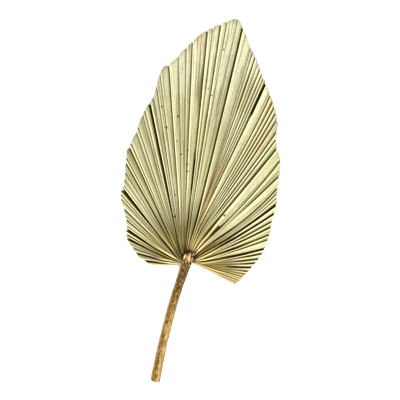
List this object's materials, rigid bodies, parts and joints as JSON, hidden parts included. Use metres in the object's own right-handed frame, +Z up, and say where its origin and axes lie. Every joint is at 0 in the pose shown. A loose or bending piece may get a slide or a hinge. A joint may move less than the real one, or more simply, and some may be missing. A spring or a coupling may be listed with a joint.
{
  "type": "dried palm leaf",
  "caption": "Dried, cut palm leaf lying flat: a pleated fan blade with a pointed tip on a short brown stalk with a cut end.",
  "frame": {"origin": "middle of the leaf's footprint, on the surface that it lies on", "axes": "+Y from the stalk's cut end towards the blade's tip, +X towards the blade's right side seen from above, +Z up from the surface"},
  "size_m": [0.1488, 0.3518, 0.0107],
  "materials": {
    "dried_leaf": "matte",
    "dried_stalk": "satin"
  },
  "bodies": {
    "root": {"leaf_blade": "dried_leaf", "leaf_stalk": "dried_stalk"}
  },
  "joints": []
}
